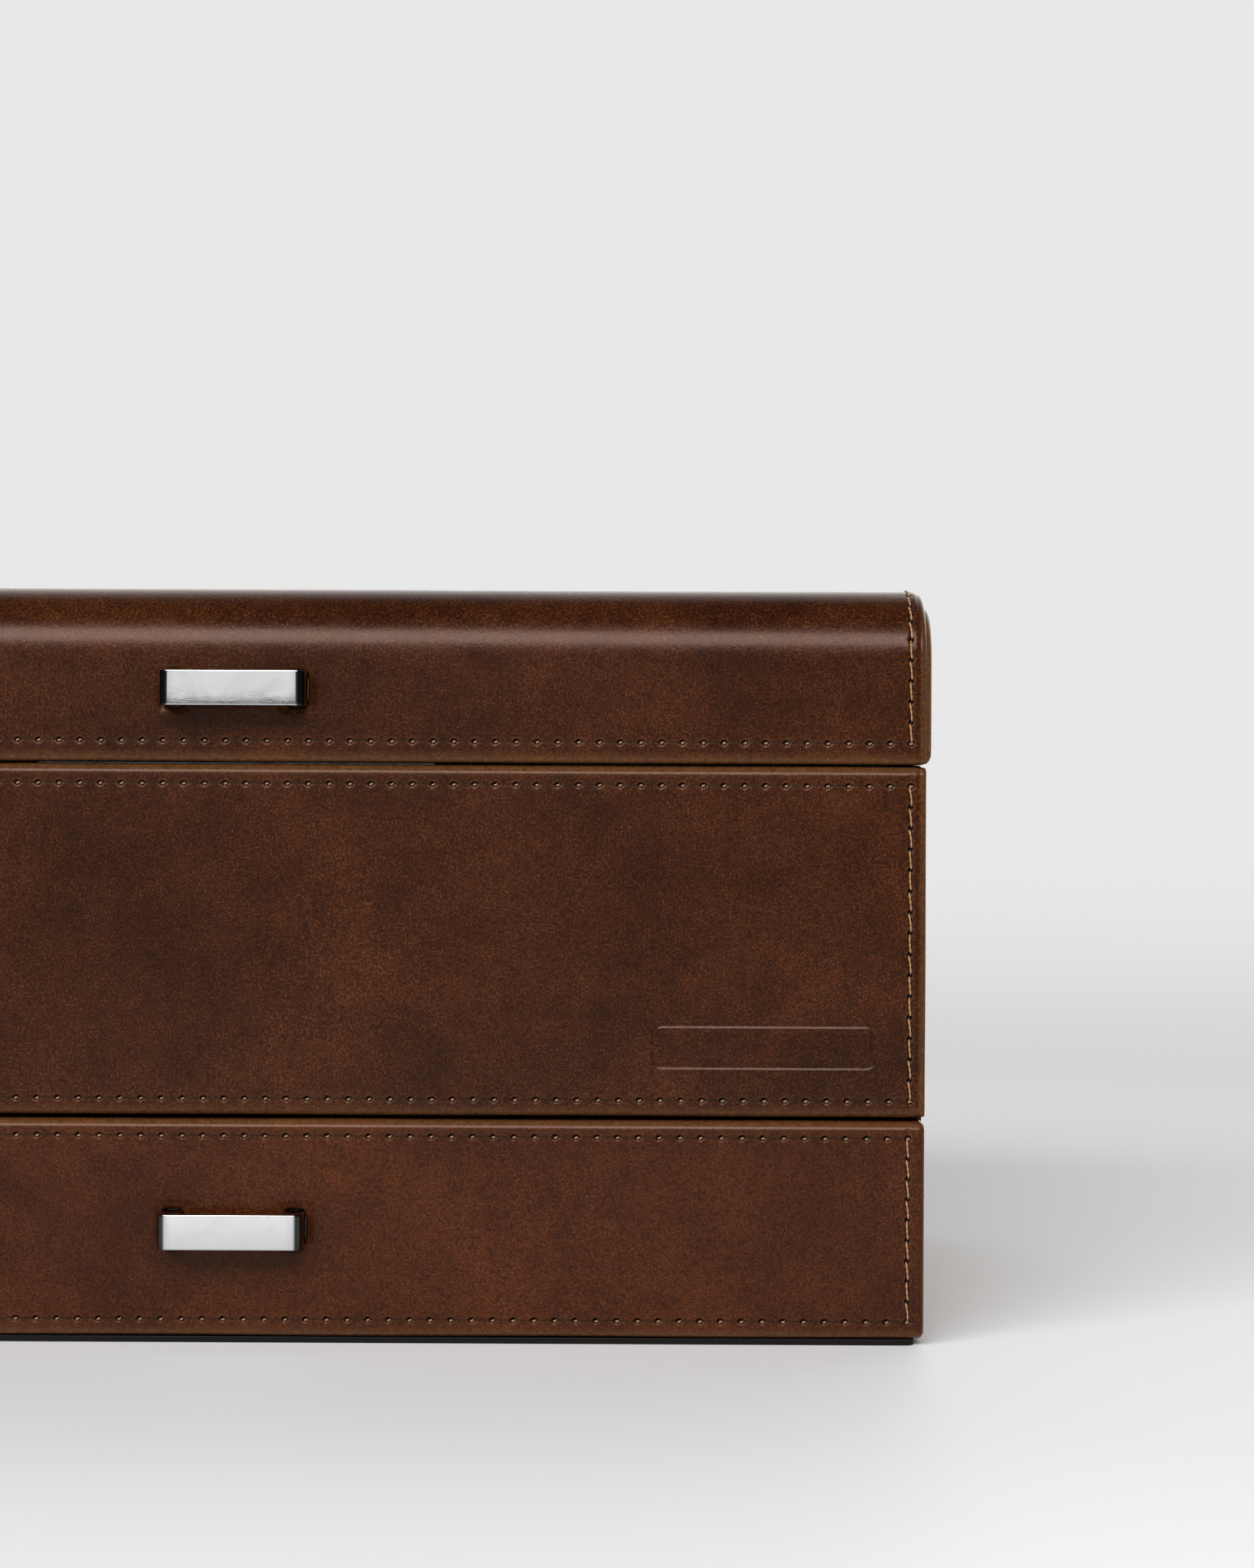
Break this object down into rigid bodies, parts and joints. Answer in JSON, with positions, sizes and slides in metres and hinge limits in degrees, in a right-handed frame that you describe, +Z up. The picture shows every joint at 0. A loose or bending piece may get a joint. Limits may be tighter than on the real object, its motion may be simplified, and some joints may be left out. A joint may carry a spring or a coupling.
{
  "type": "jewellery case",
  "caption": "Leather-covered jewellery case: hinged lid over a lined compartment with pillows and ring rolls, and a pull-out drawer below.",
  "frame": {"origin": "centre of the underside of the case, on the surface it stands on (half way between the leather's front and back faces)", "axes": "+X to the right as seen from the front, -Y out of the front where the pulls are, +Z up"},
  "size_m": [0.3032, 0.218, 0.1646],
  "materials": {
    "leather": "semi-gloss dark brown grained leather",
    "board": "bare board",
    "lining": "suede-like cloth",
    "cushion": "suede-like cloth over foam",
    "drawer_wood": "stained and waxed",
    "base_felt": "dense felt",
    "polished_metal": "polished",
    "steel": "plated",
    "hinge_metal": "satin nickel"
  },
  "bodies": {
    "case": {"base_sheet": "base_felt", "base_board": "board", "side_board_left": "board", "side_board_right": "board", "back_board": "board", "deck_board": "board", "body_front_board": "board", "body_front_skin": "leather", "side_skin_left": "leather", "side_skin_right": "leather", "back_skin": "leather", "bay_trim": "leather", "keeper_plate": "steel", "liner_floor": "lining", "liner_front": "lining", "liner_back": "lining", "liner_left": "lining", "liner_right": "lining", "long_divider": "lining", "cross_dividers": "lining", "pillow_1": "cushion", "pillow_2": "cushion", "pillow_3": "cushion", "pillow_4": "cushion", "ring_base": "cushion", "ring_rolls": "cushion", "drawer_runners": "base_felt", "drawer_stops": "board", "hinge_leaf_case_left": "hinge_metal", "hinge_leaf_case_right": "hinge_metal", "hinge_pins": "steel", "hinge_screws_case": "steel"},
    "lid": {"lid_front_rail": "board", "lid_back_rail": "board", "lid_side_board_left": "board", "lid_side_board_right": "board", "lid_top_board": "board", "lid_skin": "leather", "lid_side_skin_left": "leather", "lid_side_skin_right": "leather", "lid_frame_lining": "lining", "lid_pad": "lining", "lid_handle": "polished_metal", "lid_handle_screws": "steel", "lid_magnets": "steel", "hinge_leaf_lid_left": "hinge_metal", "hinge_leaf_lid_right": "hinge_metal", "hinge_screws_lid": "steel"},
    "drawer": {"drawer_front_board": "board", "drawer_front_skin": "leather", "drawer_side_left": "drawer_wood", "drawer_side_right": "drawer_wood", "drawer_back": "drawer_wood", "drawer_bottom": "drawer_wood", "drawer_liner": "lining", "drawer_dividers": "lining", "drawer_cross_divider": "lining", "drawer_handle": "polished_metal", "drawer_handle_screws": "steel"}
  },
  "joints": [
    {"name": "lid_hinge", "type": "hinge", "parent": "case", "child": "lid", "pos_m": [0, 0.1037, 0.12605], "axis": [-1, 0, 0], "range_deg": [0, 100]},
    {"name": "drawer_slide", "type": "slide", "parent": "case", "child": "drawer", "axis": [0, -1, 0], "range_m": [0, 0.14]}
  ]
}
